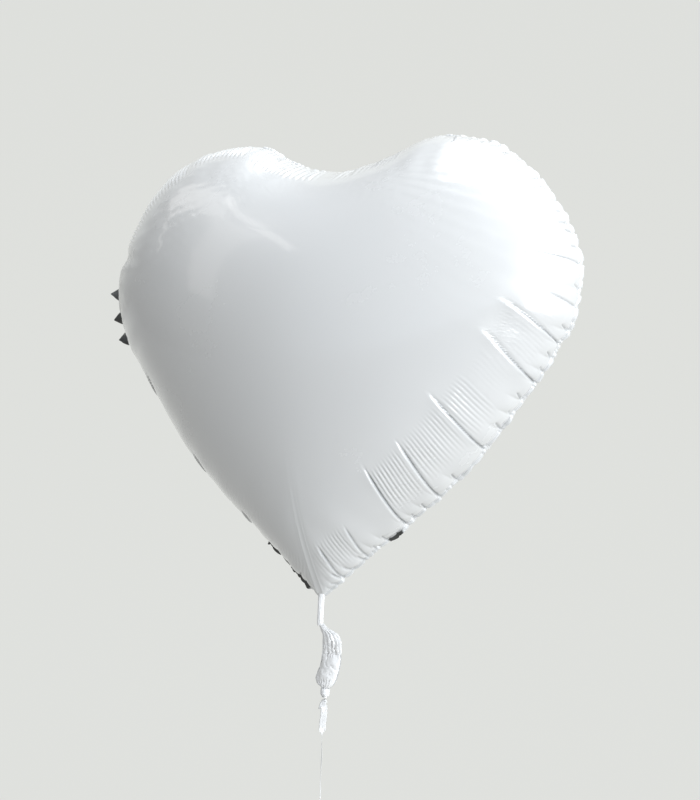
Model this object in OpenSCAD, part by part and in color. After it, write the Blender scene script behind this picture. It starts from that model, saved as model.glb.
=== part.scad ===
// Heart-shaped foil balloon, filled and tied off with a flat ribbon.
// The heart stands in the XZ plane, its front faces -Y and its lobes point to +Z.
// The origin is the middle of the gathered neck, between the heart's tip and the filling tail.

/* [Heart] */
// Width of the filled heart, without its rim
heart_w = 384; // [200:1:800]
// Height of the filled heart from its tip to the top of its lobes, without its rim
heart_h = 346; // [200:1:800]
// Thickness of the filled heart
heart_t = 166; // [80:1:400]
// Radius of each lobe's arc, as a share of the width
lobe_share = 0.28; // [0.25:0.01:0.34]
// Radius of the round bottom of the cleft, as a share of the width
cleft_share = 0.14; // [0.12:0.01:0.35]
// How far the sides bow out between lobe and tip
side_bow = 9.5; // [0:0.5:14]
// Width of the flat heat-sealed rim
rim_w = 4; // [2:0.5:8]
// Thickness of each film where it is sealed at the rim
rim_t = 0.6; // [0.4:0.1:1.2]
// Thickness of each film's wall
wall = 0.8; // [0.5:0.1:1.5]

/* [Neck] */
// Radius of the gathered neck
neck_r = 2.6; // [1.5:0.1:5]
// Length of the neck
neck_len = 16; // [8:1:30]

/* [Tail] */
// Length of the pleated top of the tail
pleat_len = 20; // [12:1:35]
// Width of the tail
tail_w = 16; // [12:1:40]
// Length of the tail below its crease, down to the tie
tail_len = 34; // [24:1:60]
// How far the middle of the tail hangs to one side of the neck
tail_x = 11; // [-15:1:15]
// How far its tied foot, with the ribbon, hangs to that side
foot_x = 7; // [-15:1:15]
// Thickness of the tail where it is puffed out most
tail_t = 8; // [5:0.5:10]
// Wall of the tail's films
tail_wall = 0.6; // [0.4:0.1:1]
// Radius of the gathered foot of the tail, under the tie
foot_r = 2.4; // [1.5:0.1:4]

/* [Valve] */
// Width of the valve's clear films inside the heart
valve_w = 26; // [12:1:40]
// Length of the valve's films inside the heart
valve_len = 95; // [60:1:140]
// Width of the valve's mouth inside the tail
mouth_w = 9; // [6:1:14]
// Thickness of each valve film
valve_t = 0.3; // [0.2:0.05:0.4]

/* [Ribbon] */
// Width of the ribbon
ribbon_w = 5; // [3:0.5:6]
// Direction that the ribbon's face is turned to at its knot, from the front towards +X
ribbon_turn = 26; // [-45:1:45]
// Thickness of the ribbon as drawn
ribbon_t = 0.8; // [0.4:0.1:1.2]
// Length of the tie wound round the foot
tie_len = 5; // [3:0.5:8]
// Radius of the ribbon's knots
knot_r = 2.6; // [2:0.1:4]
// Length of the cut end that hangs from the knot
cut_end = 8; // [4:1:14]
// Length of the hand loop at the ribbon's lower end
loop_len = 36; // [24:1:60]
// Inner radius of the hand loop's round end
loop_r = 9; // [6:0.5:14]

/* [Hidden] */

// Room kept round each pivot, so that neighbours pass each other
gap = 0.3;

// Valve films inside the heart: how far above the tip they start, their narrow end and its taper
valve_up = 6;
valve_taper = 40;
valve_end_w = 4;
// Room between the valve's mouth and the crease or the tie
mouth_room = 5;
// Gathered foot showing above the tie
tie_room = 1.5;

// Heart's outline: half a heart from tip to cleft, then its mirror image
tip_z = neck_len / 2 + rim_w;
tip_half = neck_r;
lobe_r = lobe_share * heart_w;
lobe_x = heart_w / 2 - lobe_r;
lobe_z = tip_z + heart_h - lobe_r;
cleft_r = cleft_share * heart_w;
cleft_z = lobe_z + sqrt((lobe_r + cleft_r) ^ 2 - lobe_x ^ 2);
side_steps = 12;
lobe_steps = 20;
cleft_steps = 4;
// The side leaves the tip and touches the lobe's arc at this angle
side_reach = norm([lobe_x - tip_half, lobe_z - tip_z]);
side_angle = atan2(lobe_z - tip_z, lobe_x - tip_half) - asin(lobe_r / side_reach);
cleft_angle = atan2(cleft_z - lobe_z, -lobe_x);
// The bow is fullest above the middle of the side, and flattens out at both ends
bow_rise = 1.4;
bow_ease = 1.3;

// Centre that the film's rings shrink towards, and how far each ring is from it
heart_mid = [0, tip_z + 0.59 * heart_h];
rings = [0, 0.28, 0.5, 0.68, 0.81, 0.9, 0.955, 0.985, 0.997];
// Directions in which a chord is measured to find the film's height
chord_steps = 6;

// Tail, going down from the neck: the film sways at the neck and folds at the crease
sway_z = -neck_len / 2;
pleats_top = sway_z - neck_r - gap;
fold_z = pleats_top - pleat_len;
fold_r = 1.1;
foot_z = fold_z - tail_len;
tie_top = foot_z + tie_len + tie_room;
tie_turns = 2;
knot = [foot_x, 0, foot_z - gap - knot_r];
cut_lean = 25;
pleats = 24;
ply_steps = 10;

// The hanging ribbon's middle line, measured down from the middle of its knot
ribbon_route = [[0, 0, -knot_r - gap], [0, 0, -6], [0, 0, -11], [-0.5, 0, -16], [-0.5, 0, -20],
    [-0.5, 0, -23], [-0.5, 0, -26], [-0.5, 0, -29], [-0.5, 0, -33], [0, 0, -40], [0, 0, -47],
    [0, 0, -54], [0, 0, -61], [0.5, 0, -68], [0.5, 0, -75], [0.5, 0, -82], [0.5, 0, -90]];
// The ribbon turns from face-on to edge-on below this height, over this length
turn_from = -20;
turn_len = 10;
loop_top = ribbon_route[len(ribbon_route) - 1];
loop_steps = 24;

function half_heart() = concat(
    [for (i = [0:side_steps - 1])
        let (f = i / side_steps, bow = side_bow * sin(180 * f ^ bow_rise) ^ bow_ease,
            reach = sqrt(side_reach ^ 2 - lobe_r ^ 2) * f)
        [tip_half + reach * cos(side_angle) + bow * sin(side_angle),
            tip_z + reach * sin(side_angle) - bow * cos(side_angle)]],
    [for (i = [0:lobe_steps])
        let (a = side_angle - 90 + (cleft_angle - side_angle + 90) * i / lobe_steps)
        [lobe_x + lobe_r * cos(a), lobe_z + lobe_r * sin(a)]],
    [for (i = [1:cleft_steps])
        let (a = cleft_angle + 180 + (90 - cleft_angle) * i / cleft_steps)
        [cleft_r * cos(a), cleft_z + cleft_r * sin(a)]]);

function mirrored(points) = let (n = len(points))
    concat(points, [for (i = [n - 2:-1:0]) [-points[i][0], points[i][1]]]);

outline = mirrored(half_heart());

// Each outline point moved outwards by the rim's width
function edge_normal(i) = let (n = len(outline), e = outline[(i + 1) % n] - outline[(i + n) % n])
    [e[1], -e[0]] / norm(e);
function rim_point(i) = let (n = len(outline), a = edge_normal((i + n - 1) % n), b = edge_normal(i))
    outline[i] + rim_w * (a + b) / (1 + a * b);

// Distance from p along the unit direction d to the outline
function reach_along(p, d) = let (n = len(outline))
    min([for (i = [0:n - 1])
        let (a = outline[i] - p, e = outline[(i + 1) % n] - outline[i],
            det = d[0] * e[1] - d[1] * e[0],
            t = (a[0] * e[1] - a[1] * e[0]) / det,
            u = (a[0] * d[1] - a[1] * d[0]) / det)
        if (det != 0 && t > 0 && u >= 0 && u <= 1) t]);

// The film's height over a point, from the chords through it: exact for a round balloon,
// a ridge along a strip and a cone in a corner
function sum(v) = v * [for (x = v) 1];
function puff(p) = 1 / sqrt(sum([for (k = [0:chord_steps - 1])
    let (a = 180 * (k + 0.5) / chord_steps, d = [cos(a), sin(a)])
    1 / (reach_along(p, d) * reach_along(p, -d))]) / chord_steps);
puff_scale = heart_t / 2 / puff(heart_mid);
// The inner face is the outer one shrunk towards the middle, which leaves the wall
film_shrink = 1 - wall / (0.36 * heart_w);

// Ring of the front film's points round its middle; the first ring is the middle itself
function film_ring(r) = [for (c = outline)
    let (p = heart_mid + r * (c - heart_mid))
    [p[0], r == 0 ? -heart_t / 2 : -puff_scale * puff(p), p[1]]];

// Closed solid through a stack of rings that run anticlockwise seen from the first one's side;
// each end is a strip across its ring, and a ring may shrink to a point
module skin(loops) {
    n = len(loops[0]);
    end = (len(loops) - 1) * n;
    polyhedron([for (l = loops) each l], concat(
        [for (i = [0:n / 2 - 2]) let (a = i, b = n - 1 - i) each [[a, b, a + 1], [a + 1, b, b - 1]]],
        [for (j = [0:len(loops) - 2]) for (i = [0:n - 1])
            let (a = j * n + i, b = j * n + (i + 1) % n)
            each [[a, b, a + n], [b, b + n, a + n]]],
        [for (i = [0:n / 2 - 2]) let (a = end + i, b = end + n - 1 - i)
            each [[a, a + 1, b], [a + 1, b - 1, b]]]));
}

// The front film: its outer face, the sealed rim and its inner face
module heart_film() {
    middle = [heart_mid[0], 0, heart_mid[1]];
    outer = [for (r = rings) film_ring(r)];
    inner = [for (k = [len(rings) - 1:-1:0]) [for (p = outer[k]) middle + film_shrink * (p - middle)]];
    rim = [for (i = [0:len(outline) - 1]) rim_point(i)];
    skin(concat(outer, [
        [for (c = outline) [c[0], -rim_t, c[1]]],
        [for (c = rim) [c[0], -rim_t, c[1]]],
        [for (c = rim) [c[0], 0, c[1]]],
        [for (c = outline) middle + film_shrink * ([c[0], 0, c[1]] - middle)]], inner));
}

module front_panel() {
    color("white")
    heart_film();
}

module back_panel() {
    color("white")
    mirror([0, 1, 0])
    heart_film();
}

// Clear valve film inside the heart, narrow at the tip and pressed flat on its twin
module valve_film(side) {
    bottom = tip_z + valve_up;
    shoulder = bottom + valve_taper;
    color("lightcyan")
    translate([0, side > 0 ? valve_t : 0, 0])
    rotate([90, 0, 0])
    linear_extrude(valve_t)
    polygon([[-valve_end_w / 2, bottom], [valve_end_w / 2, bottom], [valve_w / 2, shoulder],
        [valve_w / 2, bottom + valve_len], [-valve_w / 2, bottom + valve_len],
        [-valve_w / 2, shoulder]]);
}

module valve_front_film() valve_film(-1);
module valve_back_film() valve_film(1);

// Gathered film under the heart's tip; the tail sways about its round lower end
module neck() {
    color("white") {
        translate([0, 0, sway_z])
        cylinder(h = neck_len, r = neck_r, $fn = 32);
        translate([0, 0, sway_z])
        sphere(r = neck_r, $fn = 32);
    }
}

// Ring of the pleated fan, its folds alternately high and low
function pleat_ring(x, z, half_w, half_t) = [for (i = [0:pleats - 1])
    let (a = 360 * i / pleats, fold = i % 2 == 0 ? 1 : 0.72)
    [x + half_w * cos(a), half_t * fold * sin(a), z]];

// Pleated fan of film from the neck down to the crease that the tail folds at
module tail_pleats() {
    drop = pleats_top - fold_z;
    color("white")
    skin([
        pleat_ring(0, pleats_top, 1.6, 1.5),
        pleat_ring(0.35 * tail_x, pleats_top - 0.1 * drop, 0.25 * tail_w, 2),
        pleat_ring(0.85 * tail_x, pleats_top - 0.35 * drop, 0.45 * tail_w, 2.6),
        pleat_ring(tail_x, pleats_top - 0.7 * drop, 0.5 * tail_w, 2.4),
        pleat_ring(tail_x, fold_z, 0.5 * tail_w, fold_r),
        pleat_ring(tail_x, fold_z - 0.6 * fold_r, 0.5 * tail_w, 0.8 * fold_r),
        pleat_ring(tail_x, fold_z - fold_r, 0.49 * tail_w, 0.3 * fold_r)]);
}

// Ring of one tail film: its outer arc from side to side, then its inner arc back
function ply_ring(x, z, half_w, half_t) = concat(
    [for (i = [0:ply_steps]) let (a = 180 * i / ply_steps) [x + half_w * cos(a), half_t * sin(a), z]],
    [for (i = [ply_steps:-1:0]) let (a = 180 * i / ply_steps)
        [x + (half_w - tail_wall) * cos(a), (half_t - tail_wall) * sin(a), z]]);

// One film of the tail, flat at the crease, puffed out, then gathered into the foot
module tail_film() {
    top = fold_z - fold_r - gap;
    drop = top - tie_top;
    skin([
        ply_ring(tail_x, top, 0.47 * tail_w, 0.9),
        ply_ring(tail_x, top - 0.2 * drop, 0.5 * tail_w, 0.3 * tail_t),
        ply_ring(0.8 * tail_x, top - 0.5 * drop, 0.58 * tail_w, 0.45 * tail_t),
        ply_ring(0.7 * tail_x, top - 0.75 * drop, 0.6 * tail_w, 0.5 * tail_t),
        ply_ring(foot_x, top - 0.92 * drop, 0.35 * tail_w, 0.4 * tail_t),
        ply_ring(foot_x, tie_top, foot_r, foot_r),
        ply_ring(foot_x, foot_z, foot_r, foot_r)]);
}

module tail_front_film() {
    color("white")
    mirror([0, 1, 0])
    tail_film();
}

module tail_back_film() {
    color("white")
    tail_film();
}

// Valve film inside the tail, where the filling nozzle goes in
module valve_mouth(side) {
    top = fold_z - fold_r - mouth_room;
    bottom = tie_top + mouth_room;
    color("lightcyan")
    translate([tail_x - (mouth_w + tail_x - foot_x) / 2, side > 0 ? 0 : -valve_t, bottom])
    cube([mouth_w, valve_t, top - bottom]);
}

module valve_mouth_front() valve_mouth(-1);
module valve_mouth_back() valve_mouth(1);

// Ribbon wound round the gathered foot
module ribbon_tie() {
    color("white")
    translate([foot_x, 0, tie_top - tie_len])
    rotate_extrude($fn = 48)
    translate([foot_r, 0])
    square([tie_turns * ribbon_t / 2, tie_len]);
}

module ribbon_knot() {
    color("white")
    translate(knot)
    sphere(r = knot_r, $fn = 32);
}

// Cut end of the ribbon, hanging in front of the knot
module ribbon_cut_end() {
    color("white")
    translate(knot - [0, knot_r - ribbon_t, 0])
    rotate([-cut_lean, 0, 0])
    translate([-ribbon_w / 2, -ribbon_t, -cut_end])
    cube([ribbon_w, ribbon_t, cut_end]);
}

// Ring of the ribbon about a point of its route, turned by an angle from face-on to edge-on
function ribbon_ring(p, turn) = [for (i = [0:7])
    let (a = 22.5 + 45 * i, x = ribbon_w / 2 * cos(a) / cos(22.5), y = ribbon_t / 2 * sin(a) / sin(67.5))
    p + [x * cos(turn) - y * sin(turn), x * sin(turn) + y * cos(turn), 0]];

module ribbon() {
    color("white")
    translate(knot)
    skin([for (p = ribbon_route)
        ribbon_ring(p, ribbon_turn + 90 * min(1, max(0, (turn_from - p[2]) / turn_len)))]);
}

module loop_knot() {
    color("white")
    translate(knot + loop_top - [0, 0, knot_r - ribbon_t])
    sphere(r = knot_r, $fn = 32);
}

// Outline of the hand loop: a round end with straight sides that meet at the knot
function drop_shape(r, apex) = let (side = asin(r / apex)) concat([[0, apex]],
    [for (i = [0:loop_steps]) let (a = 180 - side + (180 + 2 * side) * i / loop_steps)
        r * [cos(a), sin(a)]]);

module ribbon_loop() {
    apex = loop_len - loop_r - ribbon_t;
    color("white")
    translate(knot + loop_top + [0, 0, 2 * (ribbon_t - knot_r) - apex])
    rotate([90, 0, ribbon_turn])
    linear_extrude(ribbon_w, center = true)
    difference() {
        polygon(drop_shape(loop_r + ribbon_t, apex));
        polygon(drop_shape(loop_r, apex * loop_r / (loop_r + ribbon_t)));
    }
}

front_panel();
back_panel();
valve_front_film();
valve_back_film();
neck();
tail_pleats();
tail_front_film();
tail_back_film();
valve_mouth_front();
valve_mouth_back();
ribbon_tie();
ribbon_knot();
ribbon_cut_end();
ribbon();
loop_knot();
ribbon_loop();
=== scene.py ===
"""The looks of a heart-shaped foil balloon: pleated films, heat-sealed rim, gathered tail and ribbon."""

import math

import bpy
import numpy as np
from mathutils import Matrix, Vector
from mathutils.noise import noise as noise_value


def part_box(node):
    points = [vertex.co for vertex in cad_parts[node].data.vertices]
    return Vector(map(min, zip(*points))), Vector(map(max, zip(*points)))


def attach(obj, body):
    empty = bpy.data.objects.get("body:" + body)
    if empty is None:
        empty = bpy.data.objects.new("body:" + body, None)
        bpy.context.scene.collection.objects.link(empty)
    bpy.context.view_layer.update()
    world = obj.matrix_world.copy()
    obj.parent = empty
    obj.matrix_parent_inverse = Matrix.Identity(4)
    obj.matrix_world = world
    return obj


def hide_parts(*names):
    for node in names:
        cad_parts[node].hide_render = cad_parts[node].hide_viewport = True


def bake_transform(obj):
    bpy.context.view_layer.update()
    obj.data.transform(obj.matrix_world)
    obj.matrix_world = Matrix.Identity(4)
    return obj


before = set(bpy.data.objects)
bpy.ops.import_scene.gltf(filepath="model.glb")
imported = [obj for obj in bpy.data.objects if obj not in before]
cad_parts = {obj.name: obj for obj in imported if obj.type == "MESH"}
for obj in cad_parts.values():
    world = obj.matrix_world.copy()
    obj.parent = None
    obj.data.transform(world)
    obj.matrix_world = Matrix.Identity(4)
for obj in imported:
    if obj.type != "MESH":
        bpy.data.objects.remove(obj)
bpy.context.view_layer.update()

MM = 0.001

# ---- Sizes -------------------------------------------------------------------------------------

# Heart, as the film's own box gives it; the shares are those that the CAD outline is drawn with
RIM_W = 4 * MM
LOBE_SHARE = 0.28
CLEFT_SHARE = 0.14
SIDE_BOW = 9.5 * MM
BOW_RISE = 1.4
BOW_EASE = 1.3
MIDDLE_SHARE = 0.59
heart_low, heart_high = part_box("front_panel")
HEART_W = heart_high.x - heart_low.x - 2 * RIM_W
HEART_H = heart_high.z - heart_low.z - 2 * RIM_W
HALF_T = -heart_low.y
TIP_Z = heart_low.z + RIM_W
NECK_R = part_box("neck")[1].x
MIDDLE = np.array([0, TIP_Z + MIDDLE_SHARE * HEART_H])

# Knot, and the hanging ribbon's middle line measured down from the middle of the knot
knot_low, knot_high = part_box("ribbon_knot")
KNOT = (knot_low + knot_high) / 2
KNOT_R = (knot_high.x - knot_low.x) / 2
RIBBON_W = 5 * MM
RIBBON_T = 0.25 * MM
RIBBON_TURN = 26
RIBBON_ROUTE = [(0, 0, -2.9), (0, 0, -6), (0, 0, -11), (-0.5, 0, -16), (-0.5, 0, -20), (-0.5, 0, -23),
    (-0.5, 0, -26), (-0.5, 0, -29), (-0.5, 0, -33), (0, 0, -40), (0, 0, -47), (0, 0, -54),
    (0, 0, -61), (0.5, 0, -68), (0.5, 0, -75), (0.5, 0, -82), (0.5, 0, -90)]
TURN_FROM = -20
TURN_LENGTH = 5


def collect(obj):
    bpy.context.scene.collection.objects.link(obj)
    return obj


def smooth(t):
    t = np.clip(t, 0, 1)
    return t * t * (3 - 2 * t)


# ---- Camera ------------------------------------------------------------------------------------

# How far round to the balloon's right it is seen from
VIEW_TURN = math.radians(26.22)

def add_camera():
    """A long lens a little below the heart's middle, from its right, looking slightly up."""
    turn, tilt, roll, distance = VIEW_TURN, math.radians(4.43), math.radians(2.86), 1.1905
    right = Vector((math.cos(turn), math.sin(turn), 0))
    forward = Vector((-math.sin(turn) * math.cos(tilt), math.cos(turn) * math.cos(tilt), math.sin(tilt)))
    up = right.cross(forward)
    target = Vector((0, 0, 0.1797))
    place = target - forward * distance
    # The heart sits left of and above the middle of the view
    aside, above = 0.0143, -0.0193
    aim = target + right * aside + up * above
    forward = (aim - place).normalized()
    right = forward.cross(Vector((0, 0, 1))).normalized()
    up = right.cross(forward)
    lean_right = right * math.cos(roll) + up * math.sin(roll)
    lean_up = up * math.cos(roll) - right * math.sin(roll)
    data = bpy.data.cameras.new("camera")
    data.sensor_fit = "VERTICAL"
    data.sensor_height = 24
    data.lens = 46.7
    camera = collect(bpy.data.objects.new("camera", data))
    turned = Matrix((lean_right, lean_up, -forward)).transposed().to_4x4()
    camera.matrix_world = Matrix.Translation(place) @ turned
    bpy.context.scene.camera = camera


add_camera()

# ---- Node trees --------------------------------------------------------------------------------

class Value:
    """An output socket of a node tree. Arithmetic on it adds Math nodes."""

    def __init__(self, graph, socket):
        self.graph = graph
        self.socket = socket

    def __add__(self, other):
        return self.graph.math("ADD", self, other)

    def __sub__(self, other):
        return self.graph.math("SUBTRACT", self, other)

    def __rsub__(self, other):
        return self.graph.math("SUBTRACT", other, self)

    def __mul__(self, other):
        return self.graph.math("MULTIPLY", self, other)

    __radd__ = __add__
    __rmul__ = __mul__


class Graph:
    """A node tree, shader or geometry, that nodes are added to by one method."""

    def __init__(self, tree):
        self.tree = tree

    def node(self, kind, settings=None, values=None, output=0):
        """Adds a node: its settings are set first, then its sockets' values or links."""
        made = self.tree.nodes.new(kind)
        for name, value in (settings or {}).items():
            setattr(made, name, value)
        for name, value in (values or {}).items():
            if isinstance(value, Value):
                self.tree.links.new(value.socket, made.inputs[name])
            else:
                made.inputs[name].default_value = value
        return Value(self, made.outputs[output])

    def math(self, operation, *values):
        return self.node("ShaderNodeMath", {"operation": operation}, dict(enumerate(values)))

    def vector(self, operation, *values):
        return self.node("ShaderNodeVectorMath", {"operation": operation}, dict(enumerate(values)))

    def mix(self, share, a, b):
        """Colour a, turning to colour b as share goes from 0 to 1."""
        return self.node("ShaderNodeMix", {"data_type": "RGBA"}, {0: share, 6: a, 7: b}, output=2)


def new_material(name):
    """A material with only a Principled shader; returns it, its graph and its shader's inputs."""
    material = bpy.data.materials.new(name)
    material.use_nodes = True
    tree = material.node_tree
    shader = tree.nodes["Principled BSDF"]
    return material, Graph(tree), shader.inputs


def feed(graph, inputs, **values):
    """Sets or links the shader's sockets, named with _ for a space."""
    for name, value in values.items():
        socket = inputs[name.replace("_", " ")]
        if isinstance(value, Value):
            graph.tree.links.new(value.socket, socket)
        else:
            socket.default_value = value


def noise(graph, place, scale, detail=2.0, roughness=0.5):
    return graph.node("ShaderNodeTexNoise", None,
        {"Vector": place, "Scale": scale, "Detail": detail, "Roughness": roughness})


def bump(graph, height, distance, strength=1.0):
    return graph.node("ShaderNodeBump", None,
        {"Height": height, "Distance": distance, "Strength": strength})


def object_place(graph):
    return graph.node("ShaderNodeTexCoord", output="Object")


# ---- Materials ---------------------------------------------------------------------------------

def pearl_film(name, low, high, metal):
    """White coated film: a pearly ground under a glossy coat, dimpled at the seal. Its furrows are
    darkened by painted shade, and the flange's folded-over tips are painted near black as painted shade."""
    material, g, inputs = new_material(name)
    place = object_place(g)
    sealed, furrow, painted_shade_tip = (g.node("ShaderNodeAttribute", {"attribute_name": kind}, output="Fac")
        for kind in ("sealed", "furrow", "painted_shade_tip"))
    cloud = noise(g, place, 9, 3)
    handling = noise(g, place, 42, 5, 0.62)
    # The seal's fine diagonal knurl, pressed in by the heated die
    xyz = g.node("ShaderNodeSeparateXYZ", None, {"Vector": place})
    z = Value(g, xyz.socket.node.outputs[2])
    knurl = g.math("SINE", (xyz + z) * 5200) * g.math("SINE", (xyz - z) * 5200)
    tone = g.mix(cloud, (*low, 1), (*high, 1))
    tone = g.mix(sealed * 0.4, tone, (0.66, 0.68, 0.69, 1))
    # Painted shade: the film turns dark grey down each crease's furrow
    tone = g.mix(furrow * 0.85, tone, (0.20, 0.21, 0.22, 1))
    # Painted shade: the flange's folded-over tips turn near black
    tone = g.mix(painted_shade_tip, tone, (0.05, 0.052, 0.05, 1))
    height = knurl * sealed * 0.7
    feed(g, inputs, Base_Color=tone, Roughness=cloud * 0.08 + handling * 0.05 + sealed * 0.15 + 0.2,
        Metallic=metal, Coat_Weight=0.85 - sealed * 0.4, Coat_Roughness=0.06, Coat_IOR=1.5, IOR=1.5,
        Normal=bump(g, height, 0.05 * MM, 0.6))
    return material


def satin_ribbon():
    """White polypropylene ribbon: fine ribs along its length and a soft sheen."""
    material, g, inputs = new_material("ribbon_satin_white")
    place = object_place(g)
    along = g.node("ShaderNodeUVMap", {"uv_map": "lay"})
    xyz = g.node("ShaderNodeSeparateXYZ", None, {"Vector": along})
    ribs = g.math("SINE", xyz * (2 * math.pi * 22))
    streak = noise(g, g.vector("MULTIPLY", along, (60, 1.5, 1)), 1.0, 3)
    blotch = noise(g, place, 160, 3)
    tone = g.mix(streak * 0.6 + ribs * 0.08 + 0.1, (0.86, 0.87, 0.88, 1), (0.93, 0.93, 0.93, 1))
    feed(g, inputs, Base_Color=tone, Roughness=streak * 0.2 + blotch * 0.1 + 0.2,
        Sheen_Weight=0.1, Normal=bump(g, ribs + streak * 0.6, 0.03 * MM, 0.7))
    return material


def clear_film():
    """Clear polyethylene valve film, faintly milky and gently rippled."""
    material, g, inputs = new_material("valve_clear_film")
    place = object_place(g)
    milk = noise(g, place, 70, 4)
    ripple = noise(g, g.vector("MULTIPLY", place, (30, 30, 6)), 6.0, 2)
    feed(g, inputs, Base_Color=g.mix(milk, (0.83, 0.87, 0.89, 1), (0.92, 0.94, 0.95, 1)),
        Roughness=milk * 0.15 + 0.12, Alpha=milk * 0.2 + 0.35, IOR=1.5,
        Normal=bump(g, ripple, 0.3 * MM, 0.6))
    return material


FILM = pearl_film("film_pearl_white", (0.70, 0.71, 0.72), (0.73, 0.735, 0.73), 0.08)
TAIL_FILM = pearl_film("film_tail_white", (0.87, 0.88, 0.89), (0.91, 0.91, 0.91), 0.04)
RIBBON = satin_ribbon()
CLEAR = clear_film()

# ---- Heart's outline and filled form -----------------------------------------------------------

COLUMNS = 1536
COARSE = 6
DIRECTIONS = 48
SEAM_ZONE = 0.12


def half_outline(side_steps=160, lobe_steps=300, cleft_steps=60):
    """Half a heart from its tip to its cleft: a bowed side, a round lobe, a round cleft."""
    lobe_r = LOBE_SHARE * HEART_W
    lobe_x = HEART_W / 2 - lobe_r
    lobe_z = TIP_Z + HEART_H - lobe_r
    cleft_r = CLEFT_SHARE * HEART_W
    cleft_z = lobe_z + math.sqrt((lobe_r + cleft_r) ** 2 - lobe_x ** 2)
    reach = math.hypot(lobe_x - NECK_R, lobe_z - TIP_Z)
    side = math.atan2(lobe_z - TIP_Z, lobe_x - NECK_R) - math.asin(lobe_r / reach)
    meet = math.atan2(cleft_z - lobe_z, -lobe_x)
    f = np.arange(side_steps) / side_steps
    bow = SIDE_BOW * np.sin(math.pi * f ** BOW_RISE) ** BOW_EASE
    run = math.sqrt(reach ** 2 - lobe_r ** 2) * f
    a = side - math.pi / 2 + (meet - side + math.pi / 2) * np.arange(lobe_steps + 1) / lobe_steps
    b = meet + math.pi + (math.pi / 2 - meet) * np.arange(1, cleft_steps + 1) / cleft_steps
    return np.vstack([
        np.c_[NECK_R + run * math.cos(side) + bow * math.sin(side),
            TIP_Z + run * math.sin(side) - bow * math.cos(side)],
        np.c_[lobe_x + lobe_r * np.cos(a), lobe_z + lobe_r * np.sin(a)],
        np.c_[cleft_r * np.cos(b), cleft_z + cleft_r * np.sin(b)]])


def whole_outline(count):
    """The whole heart as evenly spaced points, anticlockwise from its tip, and its length."""
    half = half_outline()
    left = half[::-1][1:] * (-1, 1)
    loop = np.vstack([half, left, half[:1]])
    walked = np.r_[0, np.cumsum(np.linalg.norm(np.diff(loop, axis=0), axis=1))]
    at = np.arange(count) / count * walked[-1]
    return np.c_[np.interp(at, walked, loop[:, 0]), np.interp(at, walked, loop[:, 1])], walked[-1]


OUTLINE, AROUND = whole_outline(COLUMNS)


def filled_height(points):
    """Film height over each point, from the chords through it, before it is scaled."""
    half = half_outline(48, 110, 24)
    edge = np.vstack([half, half[::-1][1:] * (-1, 1)])
    step = np.roll(edge, -1, axis=0) - edge
    ax = edge[None, :, 0] - points[:, None, 0]
    az = edge[None, :, 1] - points[:, None, 1]
    total = np.zeros(len(points))
    for k in range(DIRECTIONS):
        a = math.pi * (k + 0.5) / DIRECTIONS
        dx, dz = math.cos(a), math.sin(a)
        det = dx * step[:, 1] - dz * step[:, 0]
        det = np.where(np.abs(det) < 1e-12, 1e-12, det)
        t = (ax * step[:, 1] - az * step[:, 0]) / det
        u = (ax * dz - az * dx) / det
        hit = (u >= -1e-9) & (u <= 1 + 1e-9)
        ahead = np.where(hit & (t > 0), t, np.inf).min(1)
        behind = np.where(hit & (t < 0), -t, np.inf).min(1)
        total += 1 / (ahead * behind)
    return 1 / np.sqrt(total / DIRECTIONS)


def film_height(t):
    """Height of the film at t along each coarse column, from 0 at the seam to 1 at the middle.
    It rises evenly with t beside the seam, where the film stands upright."""
    inside = np.maximum(t, SEAM_ZONE)
    plan = MIDDLE + (1 - inside ** 2)[..., None] * (OUTLINE[::COARSE] - MIDDLE)
    tall = filled_height(plan.reshape(-1, 2)).reshape(t.shape)
    return tall * t / inside * HALF_T / filled_height(MIDDLE[None])[0]


def between_columns(rows, factor):
    """Each row's values round the heart, made factor times denser by a smooth closed curve."""
    before, after, beyond = np.roll(rows, 1, 1), np.roll(rows, -1, 1), np.roll(rows, -2, 1)
    out = np.zeros((rows.shape[0], rows.shape[1] * factor))
    for k in range(factor):
        t = k / factor
        out[:, k::factor] = 0.5 * (2 * rows + (after - before) * t
            + (2 * before - 5 * rows + 4 * after - beyond) * t ** 2
            + (3 * rows - before - 3 * after + beyond) * t ** 3)
    return out


# Distance of each ring from the seam, over the film: close together where the pleats are
FINE_RINGS = np.r_[np.arange(0, 12, 1.0), np.arange(12, 24, 1.5), np.arange(24, 69, 2.5)] * MM
WIDE_RINGS = 38


def film_grid():
    """Base points of a filled film as rings from the seam to the middle: plan x, height, z."""
    coarse = OUTLINE[::COARSE]
    t = np.repeat(np.linspace(0, 1, 61)[:, None], len(coarse), 1)
    plan = MIDDLE + (1 - t ** 2)[..., None] * (coarse - MIDDLE)
    legs = np.sqrt((np.diff(plan, axis=0) ** 2).sum(2) + np.diff(film_height(t), axis=0) ** 2)
    walked = np.vstack([np.zeros(len(coarse)), np.cumsum(legs, axis=0)])
    share = np.linspace(0, 1, WIDE_RINGS + 1)[1:]
    place = np.zeros((len(FINE_RINGS) + WIDE_RINGS, len(coarse)))
    for i in range(len(coarse)):
        wide = FINE_RINGS[-1] + (walked[-1, i] - FINE_RINGS[-1]) * (0.6 * share + 0.4 * share ** 2)
        place[:, i] = np.interp(np.r_[FINE_RINGS, wide], walked[:, i], t[:, i])
    tall = between_columns(film_height(place), COARSE)
    plan = MIDDLE + (1 - between_columns(place, COARSE) ** 2)[..., None] * (OUTLINE - MIDDLE)
    tall[0] = 0
    tall[-1] = HALF_T
    return np.dstack([plan[..., 0], tall, plan[..., 1]])


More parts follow.
